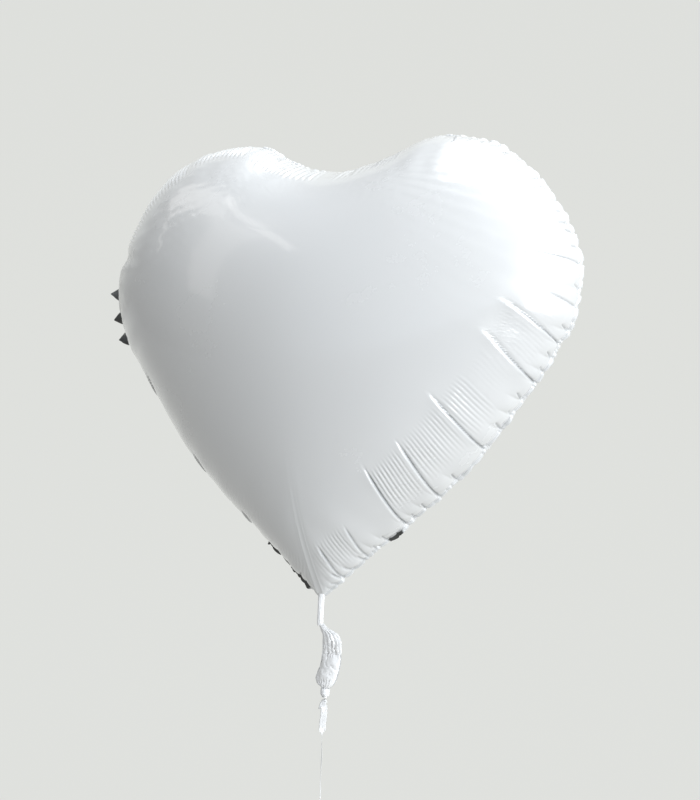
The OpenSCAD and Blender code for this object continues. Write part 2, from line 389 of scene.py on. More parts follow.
def rim_nearest(plan):
    """For each plan point: where round the rim its nearest point is, how far, and how one-sided."""
    along, away, lean = (np.zeros(len(plan)) for _ in range(3))
    right = np.arange(COLUMNS) < COLUMNS / 2
    for start in range(0, len(plan), 4000):
        part = plan[start:start + 4000]
        gaps = ((part[:, None, :] - OUTLINE[None]) ** 2).sum(2)
        near = gaps.argmin(1)
        r = np.sqrt(gaps[:, right].min(1))
        left = np.sqrt(gaps[:, ~right].min(1))
        before, here, after = (OUTLINE[(near + k) % COLUMNS] for k in (-1, 0, 1))
        tangent = (after - before) / 2
        slide = ((part - here) * tangent).sum(1) / (tangent ** 2).sum(1)
        slide = np.clip(slide, -0.5, 0.5)
        along[start:start + 4000] = (near + slide) % COLUMNS * AROUND / COLUMNS
        away[start:start + 4000] = np.linalg.norm(part - here - tangent * slide[:, None], axis=1)
        lean[start:start + 4000] = np.abs(left - r)
    return along, away, lean


GRID = film_grid()
RINGS = len(GRID)
flat_plan = GRID[..., [0, 2]].reshape(-1, 2)
ALONG, AWAY, LEAN = (v.reshape(RINGS, COLUMNS) for v in rim_nearest(flat_plan))
# Distance from the seam over the film, and how far a point is from the line where the two sides meet
REACH = np.hypot(AWAY, GRID[..., 1])
SIDED = np.where(GRID[..., 2] < MIDDLE[1] * 0.8, smooth(LEAN / (14 * MM)), 1)


def outward_normals(grid):
    """Unit normals of the base film, with the height axis counted outwards."""
    round_it = np.roll(grid, -1, 1) - np.roll(grid, 1, 1)
    inward = np.gradient(grid, axis=0)
    normal = np.cross(round_it, inward)
    normal /= np.linalg.norm(normal, axis=2, keepdims=True) + 1e-12
    normal *= np.sign((normal[..., 1:2]) + 1e-9)
    normal[0, :, 1] = 0
    normal[0] /= np.linalg.norm(normal[0], axis=1, keepdims=True)
    normal[-1] = (0, 1, 0)
    return normal


NORMALS = outward_normals(GRID)
seam_step = np.roll(OUTLINE, -1, 0) - np.roll(OUTLINE, 1, 0)
SEAM_OUT = np.c_[seam_step[:, 1], -seam_step[:, 0]] / np.linalg.norm(seam_step, axis=1)[:, None]
if (NORMALS[0, :, [0, 2]].T * SEAM_OUT).sum() < 0:
    NORMALS[0] *= -1

# ---- Pleats ------------------------------------------------------------------------------------

# Long creases of each film: place round the rim, length, depth, sideways drift to the inner end
FRONT_CREASES = [(20, 40, 1.6, 11), (46, 42, 1.6, 12), (86, 70, 2.5, 18), (119, 68, 2.5, 19),
    (168, 72, 2.8, 17), (229, 68, 2.7, 14), (262, 66, 2.9, 20), (291, 32, 1.5, 6), (322, 50, 1.9, 10),
    (352, 20, 0.9, 2), (388, 24, 0.9, -3), (425, 60, 1.0, -6), (470, 26, 0.9, -6), (512, 34, 1.2, 4),
    (530, 38, 1.4, 3), (548, 40, 1.6, 2), (563, 36, 1.5, 0), (584, 36, 1.4, -2), (604, 30, 1.2, 2),
    (620, 26, 1.0, 2), (793, 16, 2.4, -3), (858, 28, 1.8, -14), (938, 36, 1.9, -22), (1010, 32, 1.8, -16),
    (1068, 26, 1.6, -12)]
BACK_CREASES = [(20, 40, 1.8, 8), (58, 48, 2.2, 8), (92, 62, 2.6, 10), (131, 44, 2.0, 8),
    (170, 66, 2.8, 8), (214, 52, 2.4, 10), (255, 60, 2.8, 8), (300, 46, 2.0, 6), (345, 36, 1.8, 0),
    (395, 30, 1.4, -3), (446, 38, 1.6, -5), (492, 50, 2.0, 4), (520, 60, 2.2, 4), (545, 66, 2.6, 2),
    (570, 64, 2.4, 0), (596, 56, 2.0, -3), (634, 40, 1.6, 3), (682, 34, 1.4, 3), (736, 40, 1.6, -4),
    (790, 44, 2.0, -4), (842, 58, 2.6, -6), (884, 50, 2.2, -6), (925, 66, 2.8, -8), (968, 46, 2.0, -8),
    (1008, 62, 2.6, -8), (1048, 50, 2.2, -8), (1084, 58, 2.4, -7), (1114, 40, 1.8, -6)]

# Bands of fine ridges: from, to round the rim, where they start and end inwards, height, pitch, drift
FRONT_RIDGES = [(8, 48, 6, 42, 0.5, 2.9, 8), (87, 118, 14, 62, 0.8, 3.2, 15),
    (120, 167, 16, 62, 0.7, 3.3, 14), (169, 200, 14, 60, 0.75, 3.2, 11),
    (203, 226, 24, 56, 0.2, 3.1, 10), (230, 261, 14, 58, 0.85, 3.4, 14),
    (270, 290, 16, 44, 0.25, 3.2, 10), (330, 500, 0, 16, 0.25, 3.4, 0), (505, 562, -6, 42, 0.9, 4.4, 4),
    (574, 640, -6, 42, 0.9, 4.4, -4), (642, 700, -16, 34, 1.5, 4.4, 0),
    (698, 800, -16, 44, 1.7, 4.4, 0), (812, 884, -4, 62, 0.8, 3.4, -26),
    (886, 940, 10, 52, 0.25, 3.6, -14), (1000, 1090, 16, 50, 0.2, 3.4, -8),
    (1100, 1136, 4, 30, 0.4, 2.9, -6)]
BACK_RIDGES = [(20, 56, 12, 46, 0.6, 3.0, 6), (93, 129, 16, 60, 0.8, 3.2, 10),
    (171, 213, 16, 62, 0.7, 3.2, 9), (256, 299, 14, 58, 0.75, 3.3, 8), (350, 470, 2, 34, 0.5, 3.4, 0),
    (500, 600, 6, 50, 0.45, 3.4, 2), (640, 780, 2, 38, 0.5, 3.6, 0), (843, 883, 16, 58, 0.75, 3.2, -6),
    (926, 967, 16, 62, 0.7, 3.2, -8), (1009, 1047, 16, 60, 0.75, 3.1, -8),
    (1085, 1125, 10, 44, 0.5, 3.0, -6)]

# Where the pleats draw the whole rim in: place round the rim, half length, depth in millimetres
DRAWN_IN = [(255, 28, 2.5), (385, 65, 4.5), (522, 40, 5.5), (612, 36, 5.5), (775, 60, 3.5), (807, 12, 4)]

# Short notches chosen between the long creases of the front's right side
CHOSEN_NOTCHES = [(55, 9, 1.2, 2), (66, 12, 1.8, 2), (94, 9, 1.3, 2), (105, 12, 1.8, 3), (137, 13, 2.0, 3),
    (187, 12, 1.8, 3), (200, 8, 1.0, 2), (213, 13, 2.0, 4), (239, 8, 1.2, 2), (250, 12, 1.8, 4),
    (273, 12, 1.8, 3), (304, 9, 1.4, 2), (334, 9, 1.2, 0)]


def short_creases(seed, chosen):
    """Short creases at the rim: place, length, depth, drift in millimetres. They are scattered,
    but for the stretches from one place to another that have chosen ones."""
    dice = np.random.default_rng(seed)
    made = [notch for _, _, notches in chosen for notch in notches]
    place = 6.0
    while place < AROUND / MM - 5:
        length = dice.uniform(5, 15)
        notch = (place, length, 0.4 + 0.08 * length * dice.uniform(0.6, 1.3), dice.uniform(-2, 2))
        if not any(start < place < end for start, end, _ in chosen):
            made.append(notch)
        place += dice.uniform(6, 14)
    return made


def round_rim(along, place):
    """Signed distance round the rim from a place, the shorter way."""
    return (along - place + AROUND / 2) % AROUND - AROUND / 2


def crease_line(along, reach, crease):
    """Distance above a crease's line, which slants inwards, and how strong the crease still is."""
    place, length, _, drift = (v * MM for v in crease)
    t = np.clip(reach / length, 0, 1)
    return round_rim(along, place + drift * t ** 1.3), smooth((1 - t) * 4)


def crease_depth(along, reach, crease, spread):
    """One crease: the film below its line stands over the film above it, with a furrow between."""
    above, strength = crease_line(along, reach, crease)
    near = np.abs(above) < 8 * spread
    above, strength = above[near], strength[near]
    lip = np.where(above < 0, np.exp(above / spread), -np.exp(-above / (1.3 * spread)))
    furrow = np.exp(-((above - 0.3 * MM) / (0.9 * MM)) ** 2)
    rise = np.zeros(along.shape)
    rise[near] = crease[2] * MM * strength * (0.42 * lip - 0.5 * furrow)
    return rise


def crease_shade(along, reach, creases):
    """How deep in a crease's furrow each point lies, from 0 to 1; the film's colour takes it as painted
    shade.
    """
    shade = np.zeros(along.shape)
    for crease in creases:
        above, strength = crease_line(along, reach, crease)
        furrow = np.exp(-((above - 0.45 * MM) / (0.62 * MM)) ** 2)
        shade = np.maximum(shade, furrow * strength * min(crease[2] / 2.4, 1))
    return shade


def scallops(along, reach, creases):
    """Pillows of film that swell out between neighbouring creases beside the seam."""
    places = np.sort([c[0] for c in creases]) * MM
    ends = np.r_[places[-1] - AROUND, places, places[0] + AROUND]
    k = np.clip(np.searchsorted(ends, along, side="right") - 1, 0, len(ends) - 2)
    gap = ends[k + 1] - ends[k]
    swell = np.sin(math.pi * np.clip((along - ends[k]) / gap, 0, 1)) ** 0.6
    return swell * np.minimum(gap / (16 * MM), 1) * (1 - smooth(reach / (26 * MM)))


def crinkle(along, reach, seed, longest, shortest, size):
    """A gentle unevenness that follows the rim, made of a few waves."""
    dice = np.random.default_rng(seed)
    total = np.zeros(along.shape)
    for _ in range(9):
        turns = round(AROUND / dice.uniform(shortest, longest))
        swing = dice.uniform(-1, 1) * 60
        total += np.sin(2 * math.pi * turns * along / AROUND + swing * reach + dice.uniform(0, 6.3))
    return size * total / 3


def pleats(along, reach, creases, notches, seed):
    """How far the film stands out from its smooth form, before the fine ridges."""
    rise = 1.9 * MM * scallops(along, reach, creases + notches)
    for place, half, depth in DRAWN_IN:
        near = np.clip(np.abs(round_rim(along, place * MM)) / (half * MM), 0, 1)
        rise -= depth * MM * np.cos(near * math.pi / 2) ** 2 * (1 - smooth(reach / (75 * MM)))
    for crease in creases:
        rise += crease_depth(along, reach, crease, 8 * MM)
    for notch in notches:
        rise += 0.8 * crease_depth(along, reach, notch, 2.6 * MM)
    fold = smooth(reach / (10 * MM)) * (1 - smooth((reach - 30 * MM) / (60 * MM)))
    rise += fold * crinkle(along, reach, seed + 1, 60 * MM, 22 * MM, 0.16 * MM)
    return rise


def ridge_share(along, reach, bands):
    """Height of the fine ridges at each point, and how far round the band it is, in ridges.
    A band slants inwards as its creases do, and fades at its ends and edges."""
    height = np.zeros(along.shape)
    turn = np.zeros(along.shape)
    for start, end, inner, outer, size, pitch, drift in bands:
        v = (reach / MM - inner) / (outer - inner)
        place = along / MM - drift * np.clip(reach / MM / outer, 0, 1) ** 1.3
        u = (place - start) / (end - start)
        edge = smooth(u * 8) * smooth((1 - u) * 8)
        share = size * MM * edge * smooth(v * 1.8) * smooth((1 - v) * 6)
        turn = np.where(share > height, 2 * math.pi * place / pitch, turn)
        height = np.maximum(height, share)
    return height, turn


def seam_line():
    """The seam's own place: drawn in at the creases, weaving a little to front and back."""
    along = np.arange(COLUMNS) / COLUMNS * AROUND
    zero = np.zeros(COLUMNS)
    inward = 0.5 * (pleats(along, zero, FRONT_CREASES, FRONT_NOTCHES, 11)
        + pleats(along, zero, BACK_CREASES, BACK_NOTCHES, 21))
    weave = crinkle(along, zero, 5, 44 * MM, 15 * MM, 0.75 * MM)
    tip = smooth(np.minimum(along, AROUND - along) / (16 * MM))
    return inward * tip, weave * tip


FRONT_NOTCHES = short_creases(11, [(48, 340, CHOSEN_NOTCHES)])
BACK_NOTCHES = short_creases(21, [])
SEAM_IN, SEAM_WEAVE = seam_line()


# ---- Films -------------------------------------------------------------------------------------

RIM_RINGS = 4
# Where the flange's tip has folded over and stands out, painted near black as painted shade: place round
# the rim, half length, and how much farther out it stands
SHADE_PAINTED_TIPS = [(74, 8, 0), (834, 8, 9), (853, 8, 9), (870, 8, 8), (1106, 26, 0)]


def shade_painted_tips(along):
    """How far each place round the rim lies inside a shade-painted tip, from 0 to 1, and the tip's extra
    width.
    """
    share = np.zeros(along.shape)
    extra = np.zeros(along.shape)
    for place, half, wider in SHADE_PAINTED_TIPS:
        inside = half * MM - np.abs(round_rim(along, place * MM))
        share = np.maximum(share, smooth(inside / (2 * MM)))
        # It comes to a point
        extra = np.maximum(extra, wider * MM * np.clip(inside / (half * MM), 0, 1))
    return share, extra


def rim_flap(side):
    """The sealed rim outside the seam, tilting to front and back, its two layers closed at the edge."""
    along = np.arange(COLUMNS) / COLUMNS * AROUND
    zero = np.zeros(COLUMNS)
    painted_shade_tip, extra = shade_painted_tips(along)
    tilt = 1.15 + crinkle(along, zero, 8, 70 * MM, 18 * MM, 0.3) - 0.9 * painted_shade_tip - extra / (20 * MM)
    width = RIM_W * (0.84 + crinkle(along, zero, 9, 40 * MM, 9 * MM, 0.09)) + extra
    rings = []
    for k in range(RIM_RINGS, 0, -1):
        t = k / RIM_RINGS
        ripple = crinkle(along, zero, 10, 16 * MM, 5 * MM, 0.22 * MM) * t
        out = width * t * np.cos(tilt * t) + SEAM_IN
        x = OUTLINE[:, 0] + SEAM_OUT[:, 0] * out
        z = OUTLINE[:, 1] + SEAM_OUT[:, 1] * out
        y = SEAM_WEAVE + width * t * np.sin(tilt * t) + ripple + side * 0.1 * MM * (1 - t)
        rings.append(np.c_[x, y, z])
    return rings


def film_points(side, creases, notches, seed):
    """The film's rings from its outer edge to its middle, side -1 for the front and 1 for the back."""
    blend = smooth(REACH / (4 * MM))
    rise = pleats(ALONG, REACH, creases, notches, seed) * SIDED
    rise = SEAM_IN[None] * (1 - blend) + rise * blend
    weave = SEAM_WEAVE[None] * np.exp(-REACH / (5 * MM))
    dents = crinkle(ALONG, REACH, seed + 2, 190 * MM, 90 * MM, 0.16 * MM) * smooth(REACH / (60 * MM)) * SIDED
    dents *= 1 - smooth((REACH - 80 * MM) / (40 * MM))
    points = GRID + NORMALS * (rise + dents)[..., None]
    points[-1] = (MIDDLE[0], HALF_T, MIDDLE[1])
    points[..., 1] = side * points[..., 1] + weave
    return points


def ring_faces(counts, flip):
    """Faces between rings whose counts stay or halve, closed by a fan at the last point."""
    faces = []
    start = 0
    for n, m in zip(counts, counts[1:]):
        i = np.arange(m)
        if m == 1:
            i = np.arange(n)
            made = np.c_[start + i, start + (i + 1) % n, np.full(n, start + n)]
            faces += made.tolist()
        elif n == m:
            faces += np.c_[start + i, start + (i + 1) % n, start + n + (i + 1) % n, start + n + i].tolist()
        else:
            a, b, c = start + 2 * i, start + 2 * i + 1, start + (2 * i + 2) % n
            d, e = start + n + i, start + n + (i + 1) % m
            faces += np.c_[a, b, d].tolist()
            faces += np.c_[b, c, e, d].tolist()
        start += n
    return [f[::-1] for f in faces] if flip else faces


def ring_counts():
    """Columns in each ring: full near the rim, halved as the rings shrink."""
    counts = [COLUMNS] * (RIM_RINGS + len(FINE_RINGS))
    for k in range(WIDE_RINGS - 1):
        left = 1 - k / WIDE_RINGS
        step = 2 if left > 0.75 else 4 if left > 0.45 else 8 if left > 0.25 else 16 if left > 0.12 else 32
        counts.append(COLUMNS // step)
    return counts + [1]


def ridge_tree():
    """Geometry nodes that raise the fine pleat ridges out of a film along its own normals."""
    tree = bpy.data.node_groups.new("pleat_ridges", "GeometryNodeTree")
    for name, kind in [("Film", "NodeSocketGeometry"), ("Ridge height", "NodeSocketFloat"),
            ("Unevenness", "NodeSocketFloat"), ("Seed", "NodeSocketFloat"), ("Finish", "NodeSocketMaterial")]:
        tree.interface.new_socket(name, in_out="INPUT", socket_type=kind)
    tree.interface.new_socket("Film", in_out="OUTPUT", socket_type="NodeSocketGeometry")
    g = Graph(tree)
    given = tree.nodes.new("NodeGroupInput")
    film, height, uneven, seed, finish = (Value(g, given.outputs[k]) for k in range(5))
    share = g.node("GeometryNodeInputNamedAttribute", None, {"Name": "ridge_height"})
    turn = g.node("GeometryNodeInputNamedAttribute", None, {"Name": "ridge_turn"})
    outward = g.node("GeometryNodeInputNamedAttribute", {"data_type": "FLOAT_VECTOR"}, {"Name": "outward"})
    place = g.node("GeometryNodeInputPosition")
    wobble = g.node("ShaderNodeTexNoise", {"noise_dimensions": "4D"},
        {"Vector": place, "W": seed, "Scale": 26.0, "Detail": 1.0})
    strength = g.node("ShaderNodeTexNoise", {"noise_dimensions": "4D"},
        {"Vector": place, "W": seed + 3, "Scale": 60.0, "Detail": 1.0})
    # Sharp furrows between rounded ridges
    wave = g.math("ABSOLUTE", g.math("SINE", (turn + (wobble - 0.5) * uneven) * 0.5))
    rise = share * (wave - 0.6) * height * (strength * 1.4 + 0.3)
    offset = g.vector("SCALE", outward)
    g.tree.links.new(rise.socket, offset.socket.node.inputs["Scale"])
    moved = g.node("GeometryNodeSetPosition", None, {"Geometry": film, "Offset": offset})
    real = g.node("GeometryNodeRealizeInstances", None, {"Geometry": moved})
    done = g.node("GeometryNodeSetMaterial", None, {"Geometry": real, "Material": finish})
    g.tree.links.new(done.socket, tree.nodes.new("NodeGroupOutput").inputs[0])
    return tree


def run_tree(obj, tree, **values):
    """Runs a geometry tree on an object, with its inputs by name, and keeps the plain mesh."""
    modifier = obj.modifiers.new("make", "NODES")
    modifier.node_group = tree
    sockets = {s.name.lower().replace(" ", "_"): s.identifier
        for s in tree.interface.items_tree if s.in_out == "INPUT"}
    for name, value in values.items():
        modifier[sockets[name]] = value
    bpy.context.view_layer.update()
    seen = obj.evaluated_get(bpy.context.evaluated_depsgraph_get())
    mesh = bpy.data.meshes.new_from_object(seen)
    name = obj.name
    bpy.data.objects.remove(obj)
    mesh.name = name
    return collect(bpy.data.objects.new(name, mesh))


def attribute(mesh, name, kind, values):
    key = "vector" if kind == "FLOAT_VECTOR" else "value"
    mesh.attributes.new(name, kind, "POINT").data.foreach_set(key, np.asarray(values, np.float32).ravel())


def mesh_object(name, points, faces, material=None):
    mesh = bpy.data.meshes.new(name)
    mesh.from_pydata([tuple(p) for p in points], [], faces)
    mesh.shade_smooth()
    if material:
        mesh.materials.append(material)
    return collect(bpy.data.objects.new(name, mesh))


RIDGES = ridge_tree()


def make_film(name, side, creases, notches, ridges, seed):
    """One film of the heart with its rim, its pleats and its ridges."""
    body = film_points(side, creases, notches, seed)
    height, turn = ridge_share(ALONG, REACH, ridges)
    # The creases' painted shade, darkest in each furrow
    furrow = crease_shade(ALONG, REACH, creases + notches) * SIDED
    sealed = 1 - smooth(REACH / (1.2 * MM))
    normals = NORMALS * (1, side, 1)
    counts = ring_counts()
    flat = np.zeros(COLUMNS)
    painted_shade_tip, _ = shade_painted_tips(np.arange(COLUMNS) / COLUMNS * AROUND)
    rows = [(ring, np.zeros((COLUMNS, 3)), flat + 1, flat, flat, flat, painted_shade_tip) for ring in rim_flap(side)]
    for j in range(RINGS):
        keep = slice(None, None, COLUMNS // counts[RIM_RINGS + j])
        rows.append([v[keep] for v in (body[j], normals[j], sealed[j], height[j] * SIDED[j], turn[j],
            furrow[j], flat)])
    points, outward, sealed, height, turn, furrow, painted_shade_tip = (np.concatenate(column) for column in zip(*rows))
    film = mesh_object(name, points, ring_faces(counts, side > 0), FILM)
    attribute(film.data, "outward", "FLOAT_VECTOR", outward)
    for key, values in (("sealed", sealed), ("ridge_height", height), ("ridge_turn", turn),
            ("furrow", furrow), ("painted_shade_tip", painted_shade_tip)):
        attribute(film.data, key, "FLOAT", values)
    return run_tree(film, RIDGES, ridge_height=1.0, unevenness=1.4, seed=float(seed), finish=FILM)


front = make_film("film_front", -1, FRONT_CREASES, FRONT_NOTCHES, FRONT_RIDGES, 11)
back = make_film("film_back", 1, BACK_CREASES, BACK_NOTCHES, BACK_RIDGES, 21)
for film, node in ((front, "front_panel"), (back, "back_panel")):
    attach(film, "envelope")
    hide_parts(node)

# ---- Ribbon ------------------------------------------------------------------------------------

SECTION_POINTS = 24


def ribbon_tree():
    """Geometry nodes that sweep a flat strip along a path, facing the way its points say."""
    tree = bpy.data.node_groups.new("flat_ribbon", "GeometryNodeTree")
    for name, kind in [("Path", "NodeSocketGeometry"), ("Width", "NodeSocketFloat"),
            ("Thickness", "NodeSocketFloat"), ("Finish", "NodeSocketMaterial")]:
        tree.interface.new_socket(name, in_out="INPUT", socket_type=kind)
    tree.interface.new_socket("Ribbon", in_out="OUTPUT", socket_type="NodeSocketGeometry")
    g = Graph(tree)
    given = tree.nodes.new("NodeGroupInput")
    path, width, thickness, finish = (Value(g, given.outputs[k]) for k in range(4))
    face = g.node("GeometryNodeInputNamedAttribute", {"data_type": "FLOAT_VECTOR"}, {"Name": "face"})
    line = g.node("GeometryNodeMeshToCurve", None, {"Mesh": path})
    line = g.node("GeometryNodeSetCurveNormal", {"mode": "FREE"}, {"Curve": line, "Normal": face})
    section = g.node("GeometryNodeCurvePrimitiveQuadrilateral", None, {"Width": thickness, "Height": width})
    section = g.node("GeometryNodeResampleCurve", {"mode": "COUNT"},
        {"Curve": section, "Count": SECTION_POINTS})
    strip = g.node("GeometryNodeCurveToMesh", None,
        {"Curve": line, "Profile Curve": section, "Fill Caps": True})
    real = g.node("GeometryNodeRealizeInstances", None, {"Geometry": strip})
    done = g.node("GeometryNodeSetMaterial", None, {"Geometry": real, "Material": finish})
    g.tree.links.new(done.socket, tree.nodes.new("NodeGroupOutput").inputs[0])
    return tree


STRIP = ribbon_tree()


def sweep(name, path, faces, width=RIBBON_W):
    """A flat ribbon piece along a path of points, each with the direction that its face looks in."""
    mesh = bpy.data.meshes.new(name)
    mesh.from_pydata([tuple(p) for p in path], [(k, k + 1) for k in range(len(path) - 1)], [])
    attribute(mesh, "face", "FLOAT_VECTOR", faces)
    strip = collect(bpy.data.objects.new(name, mesh))
    strip = run_tree(strip, STRIP, width=width, thickness=RIBBON_T, finish=RIBBON)
    lay_uv(strip, path, faces, width)
    return strip


def lay_uv(strip, path, faces, width):
    """A map for the ribbon's ribs: u across its width, v down its length in widths."""
    mesh = strip.data
    line, face = np.array(path), np.array(faces, float)
    walked = np.r_[0, np.cumsum(np.linalg.norm(np.diff(line, axis=0), axis=1))]
    side = np.cross(np.gradient(line, axis=0), face)
    side /= np.linalg.norm(side, axis=1, keepdims=True)
    places = points_of(mesh)
    row = np.minimum(np.arange(len(places)) // SECTION_POINTS, len(line) - 1)
    across = ((places - line[row]) * side[row]).sum(1) / width + 0.5
    corner = np.zeros(len(mesh.loops), int)
    mesh.loops.foreach_get("vertex_index", corner)
    uv = mesh.uv_layers.new(name="lay")
    uv.data.foreach_set("uv", np.c_[across, walked[row] / width][corner].astype(np.float32).ravel())
    mesh.shade_smooth()


def points_of(mesh):
    places = np.zeros(len(mesh.vertices) * 3)
    mesh.vertices.foreach_get("co", places)
    return places.reshape(-1, 3)


def smooth_path(points, step=0.7 * MM):
    """A finer line through the given points, rounded between them."""
    p = np.array(points, float)
    walked = np.r_[0, np.cumsum(np.linalg.norm(np.diff(p, axis=0), axis=1))]
    at = np.linspace(0, walked[-1], max(int(walked[-1] / step), 4))
    tangent = np.gradient(p, walked, axis=0)
    k = np.clip(np.searchsorted(walked, at, side="right") - 1, 0, len(p) - 2)
    span = (walked[k + 1] - walked[k])[:, None]
    t = ((at - walked[k])[:, None]) / span
    return ((2 * t ** 3 - 3 * t ** 2 + 1) * p[k] + (t ** 3 - 2 * t ** 2 + t) * span * tangent[k]
        + (-2 * t ** 3 + 3 * t ** 2) * p[k + 1] + (t ** 3 - t ** 2) * span * tangent[k + 1])


def facing(degrees):
    """Level direction turned from the front, -Y, towards +X."""
    a = np.radians(degrees)
    return np.array([np.sin(a), -np.cos(a), 0 * a]).T


def hanging_ribbon():
    """The ribbon hangs face-on to the front under its knot, then twists edge-on, rippling a little."""
    route = smooth_path([KNOT + Vector(p) * MM for p in RIBBON_ROUTE])
    below = (route[:, 2] - KNOT.z) / MM
    turn = RIBBON_TURN + 90 * smooth((TURN_FROM - below) / TURN_LENGTH)
    turn = turn + 5 * np.sin(below / 9) * smooth(-below / 20)
    return sweep("hanging_ribbon", route, facing(turn)), route


def knot_piece(name, centre, seed):
    """A tight overhand knot: the ribbon follows a trefoil, its face turned outwards."""
    t = np.linspace(0.15, 2 * math.pi - 0.15, 150)
    path = np.c_[np.sin(t) + 2 * np.sin(2 * t), 1.25 * np.sin(3 * t), np.cos(t) - 2 * np.cos(2 * t)]
    path *= 0.62 * KNOT_R / 3
    turn = Matrix.Rotation(seed * 1.1, 3, "Z") @ Matrix.Rotation(0.5 * seed, 3, "X")
    path = path @ np.array(turn).T
    outward = path / np.linalg.norm(path, axis=1, keepdims=True)
    return sweep(name, path + np.array(centre), outward, 0.62 * RIBBON_W)


def tie_piece():
    """The ribbon wound round the tail's gathered foot, each turn a little off the one below."""
    low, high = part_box("ribbon_tie")
    middle, radius = (low + high) / 2, (high.x - low.x) / 2 - 0.4 * MM
    turns = np.linspace(0, 2.6, 220)
    a = 2 * math.pi * turns - 1.2
    r = radius + 0.28 * MM * turns
    z = middle.z + 0.5 * MM * np.sin(a * 0.77) + 0.35 * MM * (turns - 1.3)
    path = np.c_[middle.x + r * np.cos(a), middle.y + r * np.sin(a), z]
    outward = np.c_[np.cos(a), np.sin(a), 0.12 * np.sin(a * 1.3)]
    return sweep("ribbon_wraps", path, outward, 0.92 * (high.z - low.z))


def cut_end_piece():
    """The cut end that hangs in front of the knot, curling out, snipped to a fork."""
    low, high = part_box("ribbon_cut_end")
    drop = np.linspace(0, 1, 26)
    y = KNOT.y - 0.75 * KNOT_R - (KNOT.y - 0.75 * KNOT_R - low.y) * drop ** 1.4
    x = KNOT.x + 0.5 * MM * drop
    path = np.c_[x, y, KNOT.z + (low.z - KNOT.z) * drop]
    piece = sweep("ribbon_snipped_end", path, facing(RIBBON_TURN * drop) + (0, 0, -0.3))
    places = points_of(piece.data)
    row = np.minimum(np.arange(len(places)) // SECTION_POINTS, 25) / 25
    offset = np.abs(places[:, 0] - (KNOT.x + 0.5 * MM * row)) / (0.5 * RIBBON_W)
    places[:, 2] += 3.2 * MM * np.clip(1 - offset, 0, 1) * smooth((row - 0.45) / 0.55)
    piece.data.vertices.foreach_set("co", places.ravel())
    piece.data.update()
    return piece


def hand_loop():
    """The loop at the ribbon's lower end, for a hand or a hook."""
    low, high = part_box("ribbon_loop")
    middle = (low + high) / 2
    across = Vector((math.cos(math.radians(RIBBON_TURN)), math.sin(math.radians(RIBBON_TURN)), 0))
    radius = 9.2 * MM
    centre_z = low.z + radius + 0.6 * MM
    apex = high.z - centre_z - 0.5 * MM
    side = math.asin(radius / apex)
    a = np.linspace(math.pi - side, 2 * math.pi + side, 90)
    round_end = np.c_[radius * np.cos(a), radius * np.sin(a)]
    legs = np.linspace(0, 1, 24)[:-1, None]
    drop = np.vstack([(0, apex) + (round_end[0] - (0, apex)) * legs, round_end,
        (round_end[-1] + ((0, apex) - round_end[-1]) * (legs + legs[1]))])
    centre = Vector((middle.x, middle.y, centre_z))
    path = np.array([centre + across * x + Vector((0, 0, z)) for x, z in drop])
    tangent = np.gradient(path, axis=0)
    return sweep("hand_loop_ribbon", path, np.cross(tangent, (-across.y, across.x, 0)))


ribbon, ROUTE = hanging_ribbon()
loop_low, loop_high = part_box("loop_knot")
knot = knot_piece("tie_knot", KNOT, 1)
loop_knot = knot_piece("hand_loop_knot", (loop_low + loop_high) / 2, 2)
loop = hand_loop()
tie = tie_piece()
cut_end = cut_end_piece()
for piece, body, node in ((ribbon, "ribbon", "ribbon"), (loop_knot, "ribbon", "loop_knot"),
        (loop, "ribbon", "ribbon_loop"), (knot, "knot", "ribbon_knot"),
        (cut_end, "knot", "ribbon_cut_end"), (tie, "tail", "ribbon_tie")):
    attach(piece, body)
    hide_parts(node)

# ---- Neck and tail -----------------------------------------------------------------------------

neck_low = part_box("neck")[0]
fan_low, fan_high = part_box("tail_pleats")
tie_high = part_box("ribbon_tie")[1]
FOLD_X = fan_high.x - 8 * MM
FOLD_Z = fan_low.z
FOOT_X = KNOT.x
SWAY_Z = neck_low.z + NECK_R
# The tail's film runs on under the tie, to this share of the way from its crease to the tie
TAIL_ENDS = 1.25


def crumple(points, size, scale, seed):
    """Offsets points by a field that is the same wherever two films meet, with creased valleys."""
    moved = np.array(points, float)
    shift = Vector((seed * 3.1, seed * 7.7, seed * 1.3))
    for k, p in enumerate(points):
        place = Vector(p) * scale + shift
        creased = [1 - 2 * abs(two_scale_noise(place + Vector((n * 17.0, 0, 0)))) ** 0.6 for n in range(3)]
        moved[k] += np.array(creased) * (0.6, 1, 0.4) * size
    return moved


def two_scale_noise(place):
    """Smooth noise with a finer, weaker copy of itself added."""
    return noise_value(place) + 0.4 * noise_value(place * 2.3)


